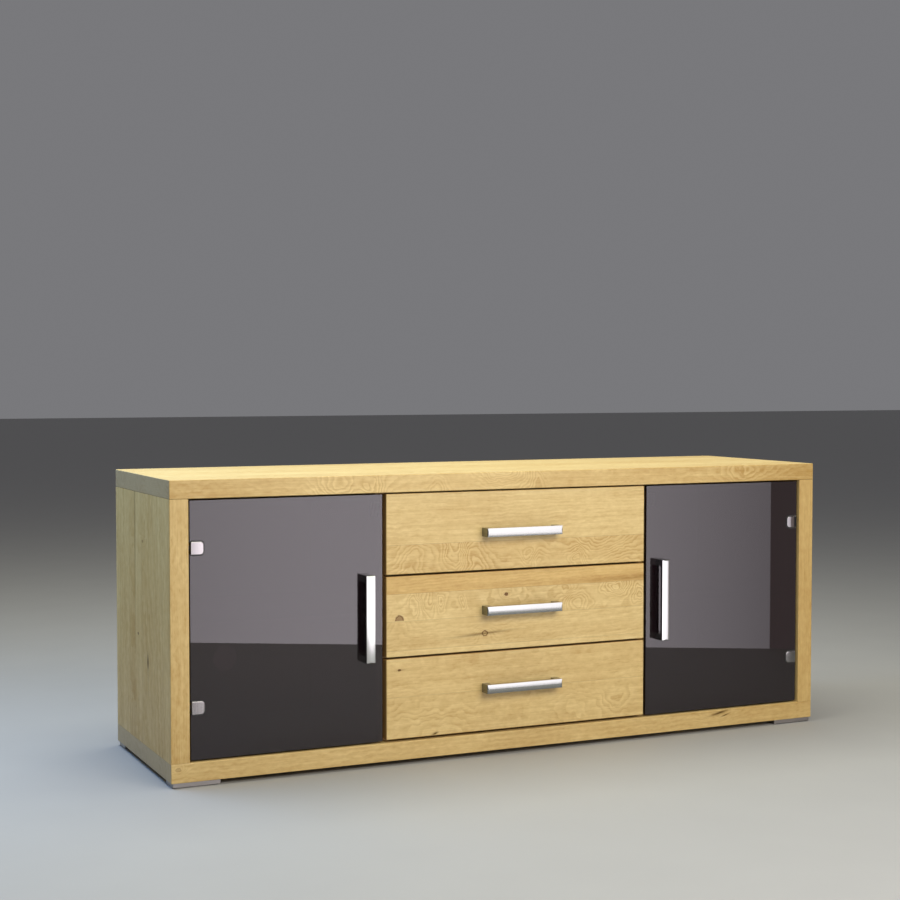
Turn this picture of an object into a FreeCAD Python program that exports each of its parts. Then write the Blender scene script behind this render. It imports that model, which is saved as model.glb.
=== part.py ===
import FreeCAD, Part
import math
import os
from FreeCAD import Vector

# Low television cabinet in solid wood, 1480 mm wide: three drawers in the middle
# and a smoked glass door at each side, on four flat metal feet.
# Millimetres. Modelled with x = 0 at the middle of the width, y = 0 at the
# carcase's front and z = 0 at the floor. The export moves everything along Y, so
# that the origin is the middle of the footprint, handles included.

# Carcase
WIDTH = 1480.0
DEPTH = 420.0
FOOT_HEIGHT = 10.0
TOTAL_HEIGHT = 584.0
BOARD = 37.0                 # base and side panels
TOP_BOARD = 36.0
EASE = 1.5                   # rounding of the wood's long edges
REBATE = 12.0                # step that takes the back panel
DIVIDER = 22.0
DIVIDER_OUTER_X = 313.0
DIVIDER_FRONT_Y = 26.0
BACK_THICK = 8.0
BACK_CLEAR = 0.5
CABLE_HOLE_R = 30.0
CABLE_HOLE_X = 508.0
CABLE_HOLE_Z = 170.0
GROMMET_WALL = 2.5
FLANGE = 2.0                 # the grommet's flange behind the back panel
FLANGE_WIDTH = 4.0
FLANGE_EASE = 0.8

# Levels and inner faces that follow from them
BASE_TOP = FOOT_HEIGHT + BOARD
TOP_UNDER = TOTAL_HEIGHT - TOP_BOARD
HALF = WIDTH / 2
SIDE_INNER_X = HALF - BOARD
BACK_Y = DEPTH - REBATE
DIVIDER_INNER_X = DIVIDER_OUTER_X - DIVIDER

# Dowels, shelves and their pins
DOWEL_R = 4.0
DOWEL_LENGTH = 35.0
DOWEL_IN_BOARD = 14.0
SIDE_DOWEL_Y = (45.0, 155.0, 265.0, 375.0)
DIVIDER_DOWEL_Y = (70.0, 215.0, 360.0)
SHELF = 18.0
SHELF_Z = 288.0
SHELF_FRONT_Y = 45.0
SHELF_BACK_Y = 402.0
SHELF_CLEAR = 1.0
PIN_R = 2.5
PIN_IN_WOOD = 10.0
PIN_OUT = 9.0
PIN_Y = (85.0, 355.0)

# Feet
FOOT_LENGTH = 95.0
FOOT_WIDTH = 45.0
FOOT_INSET = 3.0
FOOT_R = 2.0
GLIDE = 1.5
GLIDE_INSET = 4.0
FOOT_SCREW_SPACING = 60.0

# Screws: shank radius, head radius and length under the head
SMALL_SCREW = (1.75, 3.5, 15.0)
BACK_SCREW = (1.75, 3.5, 20.0)
FOOT_SCREW = (2.25, 4.5, 26.0)
HANDLE_SCREW = (2.0, 4.2, 31.0)
DOOR_SCREW = (2.0, 4.2, 15.0)
BORE_CLEAR = 0.05            # around every shank and pin
CROSS_ARM = 0.55             # driver's cross, as parts of the head's radius
CROSS_WING = 0.14
SUNK_RECESS = 1.2            # its depth
PAN_RECESS = 1.5
PAN_HEIGHT = 2.6
PAN_EASE = 1.2
BACK_SCREW_X = (180.0, 510.0, 690.0)
BACK_SCREW_Z = (160.0, 300.0, 440.0)

# Glass doors: 6 mm glass set 6 mm behind the carcase's front
GLASS = 6.0
GLASS_Y = 6.0
DOOR_GAP = 3.0
DOOR_OUTER_X = SIDE_INNER_X - DOOR_GAP
DOOR_INNER_X = 306.0
DOOR_LOW_Z = BASE_TOP + DOOR_GAP
DOOR_HIGH_Z = TOP_UNDER - DOOR_GAP
GLASS_BEVEL = 0.7

# Handles: one U-shaped flat bar, five times
HANDLE_LENGTH = 174.0
HANDLE_WIDTH = 18.0
HANDLE_REACH = 26.0
HANDLE_BAR = 8.0
HANDLE_LEG = 14.0
HANDLE_OUTER_R = 3.0
HANDLE_INNER_R = 4.0
HANDLE_CROWN_R = 42.0        # the front face is slightly round across its width
HANDLE_HOLES = HANDLE_LENGTH - HANDLE_LEG
HANDLE_HOLE_DEPTH = 12.0
DOOR_HANDLE_X = 341.0
DOOR_HANDLE_Z = 300.0
GLASS_HOLE_R = 3.0
WASHER_R = 7.0
WASHER = 1.0

# Door hinges: a clamp on the glass turns on a pin in an arm fixed to the side
HINGE_Z = (150.0, 454.0)
PIVOT_X = 695.0
PIVOT_Y = GLASS_Y + GLASS / 2
HINGE_PIN_R = 1.5
PIN_RUN = 0.05
NOTCH_X = 689.0              # how far the notch reaches into the glass
NOTCH_HALF = 11.0
NOTCH_R = 2.5
EYE_R = 3.0
EYE_HALF = 4.0
LUG_HALF = 10.0
LUG_GAP = 0.2
LUG_CLEAR = 0.8              # between the lugs and the end of the notch
PLATE_LAP = 3.0              # the clamp's plate reaches this far past the notch
LEAF = 1.6
LEAF_HALF = 14.0
LEAF_Y = (13.0, 47.0)
LEAF_R = 3.0
LEAF_SCREW_Y = (26.0, 39.0)
LEAF_SCREW_Z = 8.0
ARM_Y = (13.0, 16.0)
CAP_X = (697.6, 672.7)
CAP_HALF = 13.0
CAP_THICK = 2.8
CAP_R = 7.0
CAP_CROWN_R = 120.0          # the cap's front is slightly round across its width
CAP_EASE = 1.8
GASKET = 0.8
GASKET_LIP = 1.6             # dark border the soft sheet leaves round the cap
CLAMP_THICK = 3.0

# Magnetic catches and their plates on the glass
CATCH_Z = 515.0
CATCH_HALF = 23.0
CATCH_WIDTH = 15.0
CATCH_Y = (14.0, 30.0)
CATCH_EASE = 1.0
STRIKE_X = (330.0, 311.0)
STRIKE_HALF = 15.0
STRIKE = 1.8

# Drawers
DRAWERS = ("top", "middle", "bottom")
FRONT_HALF_X = 299.0
FRONT_Y = (3.0, 25.0)
FRONT_HEIGHT = 161.5
FRONT_GAP = 4.0
FRONT_TOP_GAP = 3.0
HANDLE_TOP_Z = 461.5
HANDLE_PITCH = 160.0
BOX_SIDE = 12.0
BOX_HEIGHT = 110.0
BOX_LIFT = 20.0              # box above its front's lower edge
BOX_BACK_Y = 385.0
BOTTOM = 6.0
BOTTOM_LIFT = 10.0
GROOVE = 5.0
GROOVE_CLEAR = 0.1

# Drawer runners: three channels, one inside the other
RAIL_DEPTH = 12.7
RAIL_Y = (30.0, 380.0)
RAIL_LIFT = 55.0             # runner's middle above the front's lower edge
RAIL_STEEL = 1.2
CABINET_RAIL = (0.0, 9.5, 22.5)      # web, open edge, half height
MIDDLE_RAIL = (3.4, 11.0, 19.5)
DRAWER_RAIL = (12.7, 6.4, 16.5)
BOX_HALF = DIVIDER_INNER_X - RAIL_DEPTH

SHIFT_Y = HANDLE_REACH - FRONT_Y[0] - (DEPTH + HANDLE_REACH - FRONT_Y[0]) / 2

NEAR = 0.1                   # tells one edge from another when picking them

nodes = {}


def block(x, y, z):
    """A box between two places on each axis, given in either order."""
    low = Vector(min(x), min(y), min(z))
    return Part.makeBox(max(x) - low.x, max(y) - low.y, max(z) - low.z, low)


def eased(shape, radius, wanted):
    """Rounds the edges that wanted(edge's middle, direction) picks."""
    picked = [edge for edge in shape.Edges
              if wanted(edge.CenterOfMass, edge.tangentAt(edge.FirstParameter))]
    return shape.makeFillet(radius, picked)


def all_edges(middle, direction):
    return True


def upright_edges(middle, direction):
    return abs(direction.z) > 0.9


def rod(base, direction, radius, length):
    return Part.makeCylinder(radius, length, base, direction)


def fused(shapes):
    return shapes[0].multiFuse(shapes[1:]).removeSplitter()


def mirrored(shape):
    """The same shape on the other side of the cabinet's middle plane."""
    return shape.mirror(Vector(0, 0, 0), Vector(1, 0, 0))


def both_sides(shape):
    return [shape, mirrored(shape)]


def turned(shape, axis, degrees):
    copy = shape.copy()
    copy.rotate(Vector(0, 0, 0), axis, degrees)
    return copy


def aimed(shape, direction):
    """Turns a shape built along +Z to point along a direction."""
    copy = shape.copy()
    copy.Placement = FreeCAD.Placement(Vector(0, 0, 0),
                                       FreeCAD.Rotation(Vector(0, 0, 1), direction))
    return copy


def placed(shape, point):
    copy = shape.copy()
    copy.translate(point)
    return copy


def cross_recess(radius, depth):
    """The driver's cross, cut into a head from z = 0 upwards."""
    arm = radius * CROSS_ARM
    wing = radius * CROSS_WING
    first = block((-arm, arm), (-wing, wing), (0, depth))
    return fused([first, turned(first, Vector(0, 0, 1), 90)])


def sunk_screw(size):
    """Countersunk screw along +Z, with its flat head's face at z = 0."""
    shank, head, length = size
    cone_height = head - shank
    cone = Part.makeCone(head, shank, cone_height)
    body = fused([cone, rod(Vector(0, 0, 0), Vector(0, 0, 1), shank, length)])
    return body.cut(cross_recess(head, SUNK_RECESS))


def sunk_hole(size):
    """The bore that takes a countersunk screw."""
    shank, head, length = size
    clear = BORE_CLEAR
    cone = Part.makeCone(head + clear, shank + clear, head - shank)
    shaft = rod(Vector(0, 0, 0), Vector(0, 0, 1), shank + clear, length + 1)
    return fused([cone, shaft])


def pan_screw(size):
    """Pan-head screw along +Z, with the underside of its head at z = 0."""
    shank, head, length = size
    disc = rod(Vector(0, 0, -PAN_HEIGHT), Vector(0, 0, 1), head, PAN_HEIGHT)
    disc = eased(disc, PAN_EASE, lambda middle, direction: middle.z < -PAN_HEIGHT / 2)
    body = fused([disc, rod(Vector(0, 0, 0), Vector(0, 0, 1), shank, length)])
    return body.cut(placed(cross_recess(head, PAN_RECESS), Vector(0, 0, -PAN_HEIGHT)))


# ---------------------------------------------------------------- carcase

def dowel_places():
    """Middle of each dowel, at both ends of the sides and dividers."""
    offset = DOWEL_LENGTH / 2 - DOWEL_IN_BOARD
    places = []
    for x, rows in ((HALF - BOARD / 2, SIDE_DOWEL_Y),
                    (DIVIDER_OUTER_X - DIVIDER / 2, DIVIDER_DOWEL_Y)):
        for y in rows:
            for side in (-1, 1):
                places.append(Vector(side * x, y, BASE_TOP + offset))
                places.append(Vector(side * x, y, TOP_UNDER - offset))
    return places


def dowels(extra):
    """All dowels, or with extra > 0 the bores that take them."""
    shapes = []
    for place in dowel_places():
        low = place - Vector(0, 0, DOWEL_LENGTH / 2 + extra)
        pin = rod(low, Vector(0, 0, 1), DOWEL_R + extra, DOWEL_LENGTH + 2 * extra)
        shapes.append(pin)
    return shapes


def foot_middle(side, end):
    """Middle of the foot in the corner with these signs of x and y."""
    x = side * (HALF - FOOT_INSET - FOOT_LENGTH / 2)
    y = DEPTH / 2 + end * (DEPTH / 2 - FOOT_INSET - FOOT_WIDTH / 2)
    return x, y


def foot_screw_points():
    points = []
    for end in (-1, 1):
        for side in (-1, 1):
            x, y = foot_middle(side, end)
            for step in (-0.5, 0.5):
                points.append(Vector(x + step * FOOT_SCREW_SPACING, y, GLIDE))
    return points


def back_screw_points():
    """Screws through the back panel into the case all round and both dividers."""
    y = BACK_Y + BACK_THICK
    rim = REBATE / 2
    points = []
    for side in (-1, 1):
        for x in BACK_SCREW_X:
            points.append(Vector(side * x, y, BASE_TOP - rim))
            points.append(Vector(side * x, y, TOP_UNDER + rim))
        for z in BACK_SCREW_Z:
            points.append(Vector(side * (SIDE_INNER_X + rim), y, z))
            points.append(Vector(side * (DIVIDER_OUTER_X - DIVIDER / 2), y, z))
    return points


def holes(points, size, direction):
    cutter = aimed(sunk_hole(size), direction)
    return [placed(cutter, point) for point in points]


def screws(points, maker, size, direction):
    screw = aimed(maker(size), direction)
    return [placed(screw, point) for point in points]


def shelf_pin_points():
    """Where each shelf pin leaves the wood, and its direction into the compartment."""
    z = SHELF_Z - PIN_R
    points = []
    for y in PIN_Y:
        for side in (-1, 1):
            points.append((Vector(side * SIDE_INNER_X, y, z), Vector(-side, 0, 0)))
            points.append((Vector(side * DIVIDER_OUTER_X, y, z), Vector(side, 0, 0)))
    return points


def shelf_pins(clear):
    shapes = []
    for point, out in shelf_pin_points():
        start = point - out * (PIN_IN_WOOD + clear)
        length = PIN_IN_WOOD + PIN_OUT + clear
        shapes.append(rod(start, out, PIN_R + clear, length))
    return shapes


def long_board(z):
    """Top or base: a full-width board with all its edges eased."""
    return eased(block((-HALF, HALF), (0, DEPTH), z), EASE, all_edges)


def carcase_boards():
    rebate_x = SIDE_INNER_X + REBATE
    wide = (-rebate_x, rebate_x)
    step = block(wide, (BACK_Y, DEPTH), (BASE_TOP - REBATE, TOP_UNDER + REBATE))
    bores = dowels(BORE_CLEAR)
    foot_holes = holes(foot_screw_points(), FOOT_SCREW, Vector(0, 0, 1))
    back_holes = holes(back_screw_points(), BACK_SCREW, Vector(0, -1, 0))
    leaf_holes = hinge_leaf_screws(holes_only=True)
    pin_holes = shelf_pins(BORE_CLEAR)

    top = long_board((TOP_UNDER, TOTAL_HEIGHT))
    nodes["top_panel"] = top.cut([step] + bores + back_holes)
    base = long_board((FOOT_HEIGHT, BASE_TOP))
    nodes["base_panel"] = base.cut([step] + bores + back_holes + foot_holes)

    side = block((-HALF, -SIDE_INNER_X), (0, DEPTH), (BASE_TOP, TOP_UNDER))
    upright = eased(side, EASE, upright_edges)
    upright = upright.cut(step)
    cuts = bores + back_holes + leaf_holes + pin_holes
    nodes["left_side_panel"] = upright.cut(cuts)
    nodes["right_side_panel"] = mirrored(upright).cut(cuts)

    divider = block((-DIVIDER_OUTER_X, -DIVIDER_INNER_X), (DIVIDER_FRONT_Y, BACK_Y),
                    (BASE_TOP, TOP_UNDER))
    nodes["left_divider"] = divider.cut(cuts)
    nodes["right_divider"] = mirrored(divider).cut(cuts)
    nodes["carcase_dowels"] = Part.makeCompound(dowels(0))
    nodes["shelf_pins"] = Part.makeCompound(shelf_pins(0))


def back_panel():
    reach = SIDE_INNER_X + REBATE - BACK_CLEAR
    panel = block((-reach, reach), (BACK_Y, BACK_Y + BACK_THICK),
                  (BASE_TOP - REBATE + BACK_CLEAR, TOP_UNDER + REBATE - BACK_CLEAR))
    cuts = holes(back_screw_points(), BACK_SCREW, Vector(0, -1, 0))
    grommets = []
    for side in (-1, 1):
        middle = Vector(side * CABLE_HOLE_X, BACK_Y, CABLE_HOLE_Z)
        cuts.append(rod(middle, Vector(0, 1, 0), CABLE_HOLE_R, BACK_THICK))
        grommets.append(grommet(middle))
    nodes["back_panel"] = panel.cut(cuts)
    nodes["cable_grommets"] = Part.makeCompound(grommets)
    points = back_screw_points()
    made = screws(points, sunk_screw, BACK_SCREW, Vector(0, -1, 0))
    nodes["back_panel_screws"] = Part.makeCompound(made)


def grommet(middle):
    """Ring that lines a cable hole, with a flange behind the back panel."""
    back = Vector(0, 1, 0)
    length = BACK_THICK + FLANGE
    sleeve = rod(middle, back, CABLE_HOLE_R - BORE_CLEAR, length)
    rim_start = middle + back * BACK_THICK
    rim = rod(rim_start, back, CABLE_HOLE_R + FLANGE_WIDTH, FLANGE)
    rim = eased(rim, FLANGE_EASE,
                lambda edge_middle, direction: edge_middle.y > rim_start.y + NEAR)
    opening = rod(middle, back, CABLE_HOLE_R - GROMMET_WALL, length)
    return fused([sleeve, rim]).cut(opening)


def shelves():
    x = (-SIDE_INNER_X + SHELF_CLEAR, -DIVIDER_OUTER_X - SHELF_CLEAR)
    shelf = block(x, (SHELF_FRONT_Y, SHELF_BACK_Y), (SHELF_Z, SHELF_Z + SHELF))
    shelf = eased(shelf, EASE, all_edges)
    nodes["left_shelf"] = shelf
    nodes["right_shelf"] = mirrored(shelf)


def feet():
    glides = []
    cuts = holes(foot_screw_points(), FOOT_SCREW, Vector(0, 0, 1))
    for name, end in (("front_feet", -1), ("rear_feet", 1)):
        plates = []
        for side in (-1, 1):
            x, y = foot_middle(side, end)
            wide = (x - FOOT_LENGTH / 2, x + FOOT_LENGTH / 2)
            deep = (y - FOOT_WIDTH / 2, y + FOOT_WIDTH / 2)
            plate = block(wide, deep, (GLIDE, FOOT_HEIGHT))
            plate = eased(plate, FOOT_R, upright_edges)
            plates.append(plate.cut(cuts))
            pad_x = (wide[0] + GLIDE_INSET, wide[1] - GLIDE_INSET)
            pad_y = (deep[0] + GLIDE_INSET, deep[1] - GLIDE_INSET)
            glides.append(block(pad_x, pad_y, (0, GLIDE)))
        nodes[name] = Part.makeCompound(plates)
    nodes["foot_glides"] = Part.makeCompound(glides)
    made = screws(foot_screw_points(), sunk_screw, FOOT_SCREW, Vector(0, 0, 1))
    nodes["foot_screws"] = Part.makeCompound(made)


def rail(profile, middle_z):
    """A channel on the left divider: web, open edge and half height measured from it."""
    web, edge, half = profile
    inward = 1 if edge > web else -1
    face = -DIVIDER_INNER_X
    z = (middle_z - half, middle_z + half)
    outer = block((face + web, face + edge), RAIL_Y, z)
    hollow = block((face + web + inward * RAIL_STEEL, face + edge),
                   RAIL_Y, (z[0] + RAIL_STEEL, z[1] - RAIL_STEEL))
    return outer.cut(hollow)


# ---------------------------------------------------------------- doors

def hinge_leaf(z):
    """Fixed half: a plate on the left side panel with an arm and eye round the pin."""
    pivot = Vector(-PIVOT_X, PIVOT_Y, z - EYE_HALF)
    inner = -SIDE_INNER_X
    plate = block((inner, inner + LEAF), LEAF_Y, (z - LEAF_HALF, z + LEAF_HALF))
    plate = eased(plate, LEAF_R, lambda middle, direction: abs(direction.x) > 0.9
                  and middle.y > LEAF_Y[0] + NEAR)
    band = (z - EYE_HALF, z + EYE_HALF)
    arm = block((inner, -PIVOT_X + HINGE_PIN_R), ARM_Y, band)
    web = block((-PIVOT_X - HINGE_PIN_R, -PIVOT_X + HINGE_PIN_R),
                (PIVOT_Y, ARM_Y[1]), band)
    eye = rod(pivot, Vector(0, 0, 1), EYE_R, 2 * EYE_HALF)
    leaf = fused([plate, arm, web, eye])
    cuts = [rod(pivot, Vector(0, 0, 1), HINGE_PIN_R, 2 * EYE_HALF)]
    cuts += [placed(aimed(sunk_hole(SMALL_SCREW), Vector(-1, 0, 0)), point)
             for point in leaf_screw_points(z)]
    return leaf.cut(cuts)


def leaf_screw_points(z):
    """Screw heads on one leaf, staggered across it."""
    x = -SIDE_INNER_X + LEAF
    return [Vector(x, LEAF_SCREW_Y[0], z + LEAF_SCREW_Z),
            Vector(x, LEAF_SCREW_Y[0], z - LEAF_SCREW_Z),
            Vector(x, LEAF_SCREW_Y[1], z)]


def hinge_leaf_screws(holes_only=False):
    shapes = []
    maker = sunk_hole if holes_only else sunk_screw
    for z in HINGE_Z:
        for point in leaf_screw_points(z):
            one = placed(aimed(maker(SMALL_SCREW), Vector(-1, 0, 0)), point)
            shapes += both_sides(one)
    return shapes


def hinge_clamp(z):
    """Moving half: lugs round the pin inside the glass notch, and a plate behind."""
    rear = PIVOT_Y + GLASS / 2 + GASKET
    plate_y = (rear, rear + CLAMP_THICK)
    end_x = -CAP_X[1]
    plate = block((-NOTCH_X - PLATE_LAP, end_x), plate_y, (z - CAP_HALF, z + CAP_HALF))
    plate = eased(plate, CAP_R, lambda middle, direction: abs(direction.y) > 0.9
                  and middle.x > end_x - NEAR)
    shapes = [plate]
    cuts = []
    for side in (-1, 1):
        near = z + side * (EYE_HALF + LUG_GAP)
        far = z + side * LUG_HALF
        lug_x = (-PIVOT_X, -NOTCH_X - LUG_CLEAR)
        lug = block(lug_x, (PIVOT_Y - GLASS / 2, plate_y[1]), (near, far))
        low = Vector(-PIVOT_X, PIVOT_Y, min(near, far))
        barrel = rod(low, Vector(0, 0, 1), GLASS / 2, abs(far - near))
        shapes += [lug, barrel]
        bore = rod(low, Vector(0, 0, 1), HINGE_PIN_R + PIN_RUN, abs(far - near))
        cuts.append(bore)
    return fused(shapes).cut(cuts)


def d_plate(z, y, lip):
    """The hinge cap's outline: straight beside the stile, round at its free side.

    A lip widens it all round, except beside the stile, where the door turns."""
    x = (-CAP_X[0], -CAP_X[1] + lip)
    half = CAP_HALF + lip
    plate = block(x, y, (z - half, z + half))
    return eased(plate, CAP_R + lip, lambda middle, direction: abs(direction.y) > 0.9
                 and middle.x > x[1] - NEAR)


def hinge_cap(z):
    """Cover on the glass, its crowned front well rounded except beside the stile."""
    rear = GLASS_Y - GASKET
    front = rear - CAP_THICK
    middle_x = -(CAP_X[0] + CAP_X[1]) / 2
    axis_foot = Vector(middle_x, front + CAP_CROWN_R, z - CAP_HALF)
    crown = rod(axis_foot, Vector(0, 0, 1), CAP_CROWN_R, 2 * CAP_HALF)
    cap = d_plate(z, (front, rear), 0.0).common(crown)
    return eased(cap, CAP_EASE, lambda middle, direction: middle.y < rear - CAP_THICK / 2
                 and abs(direction.y) < 0.9 and middle.x > -CAP_X[0] + NEAR)


def hinge_gaskets(z):
    """Soft sheets between glass and metal, in front of and behind the glass."""
    front = d_plate(z, (GLASS_Y - GASKET, GLASS_Y), GASKET_LIP)
    rear_y = (GLASS_Y + GLASS, GLASS_Y + GLASS + GASKET)
    rear = block((-NOTCH_X, -CAP_X[1]), rear_y, (z - CAP_HALF, z + CAP_HALF))
    rear = eased(rear, CAP_R, lambda middle, direction: abs(direction.y) > 0.9
                 and middle.x > -CAP_X[1] - NEAR)
    return [front, rear]


def door_glass():
    """Left door's pane, notched at the hinges and drilled for the handle."""
    pane = block((-DOOR_OUTER_X, -DOOR_INNER_X), (GLASS_Y, GLASS_Y + GLASS),
                 (DOOR_LOW_Z, DOOR_HIGH_Z))
    pane = pane.makeChamfer(GLASS_BEVEL, pane.Edges)
    cuts = []
    for z in HINGE_Z:
        notch = block((-DOOR_OUTER_X - 1, -NOTCH_X), (GLASS_Y - 1, GLASS_Y + GLASS + 1),
                      (z - NOTCH_HALF, z + NOTCH_HALF))
        notch = eased(notch, NOTCH_R, lambda middle, direction: abs(direction.y) > 0.9
                      and middle.x > -NOTCH_X - NEAR)
        cuts.append(notch)
    for step in (-0.5, 0.5):
        middle = Vector(-DOOR_HANDLE_X, GLASS_Y - 1, DOOR_HANDLE_Z + step * HANDLE_HOLES)
        cuts.append(rod(middle, Vector(0, 1, 0), GLASS_HOLE_R, GLASS + 2))
    return pane.cut(cuts)


def handle_profile():
    """The U of the bar seen from above: feet at y = 0, front at y = -reach."""
    half = HANDLE_LENGTH / 2
    leg = half - HANDLE_LEG
    front = -HANDLE_REACH
    inner = front + HANDLE_BAR
    slant = math.sqrt(0.5)
    big, small = HANDLE_OUTER_R, HANDLE_INNER_R

    def corner(x_side, x, y, radius):
        """Arc round a corner whose walls meet at (x, y), from the leg to the bar."""
        start = Vector(x_side * x, y + radius, 0)
        middle = Vector(x_side * (x - radius + slant * radius),
                        y + radius - slant * radius, 0)
        end = Vector(x_side * (x - radius), y, 0)
        return Part.Arc(start, middle, end).toShape()

    def line(a, b):
        return Part.LineSegment(Vector(*a, 0), Vector(*b, 0)).toShape()

    edges = [
        line((-half, 0), (-half, front + big)),
        corner(-1, half, front, big),
        line((-half + big, front), (half - big, front)),
        corner(1, half, front, big),
        line((half, front + big), (half, 0)),
        line((half, 0), (leg, 0)),
        line((leg, 0), (leg, inner + small)),
        corner(1, leg, inner, small),
        line((leg - small, inner), (-leg + small, inner)),
        corner(-1, leg, inner, small),
        line((-leg, inner + small), (-leg, 0)),
        line((-leg, 0), (-half, 0)),
    ]
    return Part.Face(Part.Wire(Part.__sortEdges__(edges)))


def handle():
    """Bar along X with its feet at y = 0, crowned front and two tapped holes."""
    half = HANDLE_WIDTH / 2
    bar = handle_profile().extrude(Vector(0, 0, HANDLE_WIDTH))
    bar.translate(Vector(0, 0, -half))
    crown_middle = Vector(-HANDLE_LENGTH, HANDLE_CROWN_R - HANDLE_REACH, 0)
    crown = rod(crown_middle, Vector(1, 0, 0), HANDLE_CROWN_R, 2 * HANDLE_LENGTH)
    bar = bar.common(crown)
    cuts = []
    for step in (-0.5, 0.5):
        foot = Vector(step * HANDLE_HOLES, -HANDLE_HOLE_DEPTH, 0)
        cuts.append(rod(foot, Vector(0, 1, 0), HANDLE_SCREW[0], HANDLE_HOLE_DEPTH))
    return bar.cut(cuts)


def handle_washers(places):
    """Soft washers between the glass and the screw heads."""
    washer = rod(Vector(0, 0, 0), Vector(0, 1, 0), WASHER_R, WASHER)
    washer = washer.cut(rod(Vector(0, 0, 0), Vector(0, 1, 0), GLASS_HOLE_R, WASHER))
    return [placed(washer, place) for place in places]


def doors():
    bar = turned(handle(), Vector(0, 1, 0), 90)
    bar = placed(bar, Vector(-DOOR_HANDLE_X, GLASS_Y, DOOR_HANDLE_Z))
    rear = GLASS_Y + GLASS
    places = [Vector(-DOOR_HANDLE_X, rear, DOOR_HANDLE_Z + step * HANDLE_HOLES)
              for step in (-0.5, 0.5)]
    heads = [place + Vector(0, WASHER, 0) for place in places]
    strike = block((-STRIKE_X[0], -STRIKE_X[1]), (rear, rear + STRIKE),
                   (CATCH_Z - STRIKE_HALF, CATCH_Z + STRIKE_HALF))
    clamps = [hinge_clamp(z) for z in HINGE_Z]
    caps = [hinge_cap(z) for z in HINGE_Z]
    seals = []
    for z in HINGE_Z:
        seals += hinge_gaskets(z)
    seals += handle_washers(places)
    pieces = {
        "glass": door_glass(),
        "handle": bar,
        "handle_screws": Part.makeCompound(
            screws(heads, pan_screw, DOOR_SCREW, Vector(0, -1, 0))),
        "hinge_caps": Part.makeCompound(caps),
        "hinge_clamps": Part.makeCompound(clamps),
        "seals": Part.makeCompound(seals),
        "strike_plate": strike,
    }
    for name, shape in pieces.items():
        nodes["left_door_" + name] = shape
        nodes["right_door_" + name] = mirrored(shape)


def fixed_door_hardware():
    leaves = []
    pins = []
    for z in HINGE_Z:
        leaves += both_sides(hinge_leaf(z))
        low = Vector(-PIVOT_X, PIVOT_Y, z - LUG_HALF)
        pins += both_sides(rod(low, Vector(0, 0, 1), HINGE_PIN_R, 2 * LUG_HALF))
    nodes["hinge_leaves"] = Part.makeCompound(leaves)
    nodes["hinge_pins"] = Part.makeCompound(pins)
    nodes["hinge_leaf_screws"] = Part.makeCompound(hinge_leaf_screws())
    catch = block((-DIVIDER_OUTER_X - CATCH_WIDTH, -DIVIDER_OUTER_X), CATCH_Y,
                  (CATCH_Z - CATCH_HALF, CATCH_Z + CATCH_HALF))
    catch = eased(catch, CATCH_EASE,
                  lambda middle, direction: middle.x < -DIVIDER_OUTER_X - NEAR)
    nodes["door_catches"] = Part.makeCompound(both_sides(catch))


# ---------------------------------------------------------------- drawers

def drawer(name, low_z, handle_z):
    """One drawer whose front starts at low_z. The left half is built and mirrored."""
    box_low = low_z + BOX_LIFT
    bottom_low = box_low + BOTTOM_LIFT
    inner_x = BOX_HALF - BOX_SIDE
    groove_z = (bottom_low, bottom_low + BOTTOM + GROOVE_CLEAR)
    groove_reach = inner_x + GROOVE
    bed = block((-groove_reach, groove_reach), (FRONT_Y[1] - GROOVE, BOX_BACK_Y), groove_z)

    front = block((-FRONT_HALF_X, FRONT_HALF_X), FRONT_Y, (low_z, low_z + FRONT_HEIGHT))
    front = eased(front, EASE, all_edges)
    heads = [Vector(step * HANDLE_HOLES, FRONT_Y[1], handle_z) for step in (-0.5, 0.5)]
    bores = [rod(point, Vector(0, -1, 0), HANDLE_SCREW[0] + BORE_CLEAR, DIVIDER)
             for point in heads]
    nodes[name + "_drawer_front"] = front.cut(bores + [bed])

    side = block((-BOX_HALF, -inner_x), (FRONT_Y[1], BOX_BACK_Y),
                 (box_low, box_low + BOX_HEIGHT))
    side = eased(side, EASE, lambda middle, direction: abs(direction.y) > 0.9
                 and middle.z > box_low + NEAR)
    side = side.cut(bed)
    nodes[name + "_drawer_sides"] = Part.makeCompound(both_sides(side))

    back = block((-inner_x, inner_x), (BOX_BACK_Y - BOX_SIDE, BOX_BACK_Y),
                 (groove_z[1], box_low + BOX_HEIGHT))
    nodes[name + "_drawer_back"] = back
    reach = groove_reach - GROOVE_CLEAR
    nodes[name + "_drawer_bottom"] = block(
        (-reach, reach), (FRONT_Y[1] - GROOVE + GROOVE_CLEAR, BOX_BACK_Y),
        (bottom_low, bottom_low + BOTTOM))

    bar = placed(handle(), Vector(0, FRONT_Y[0], handle_z))
    nodes[name + "_drawer_handle"] = bar
    made = screws(heads, pan_screw, HANDLE_SCREW, Vector(0, -1, 0))
    nodes[name + "_drawer_handle_screws"] = Part.makeCompound(made)

    rail_z = low_z + RAIL_LIFT
    nodes[name + "_drawer_rails"] = Part.makeCompound(both_sides(rail(DRAWER_RAIL, rail_z)))
    middle = both_sides(rail(MIDDLE_RAIL, rail_z))
    nodes[name + "_runner_middles"] = Part.makeCompound(middle)
    return both_sides(rail(CABINET_RAIL, rail_z))


def drawers():
    cabinet_rails = []
    low_z = TOP_UNDER - FRONT_TOP_GAP - FRONT_HEIGHT
    handle_z = HANDLE_TOP_Z
    for name in DRAWERS:
        cabinet_rails += drawer(name, low_z, handle_z)
        low_z -= FRONT_HEIGHT + FRONT_GAP
        handle_z -= HANDLE_PITCH
    nodes["drawer_cabinet_rails"] = Part.makeCompound(cabinet_rails)


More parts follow.
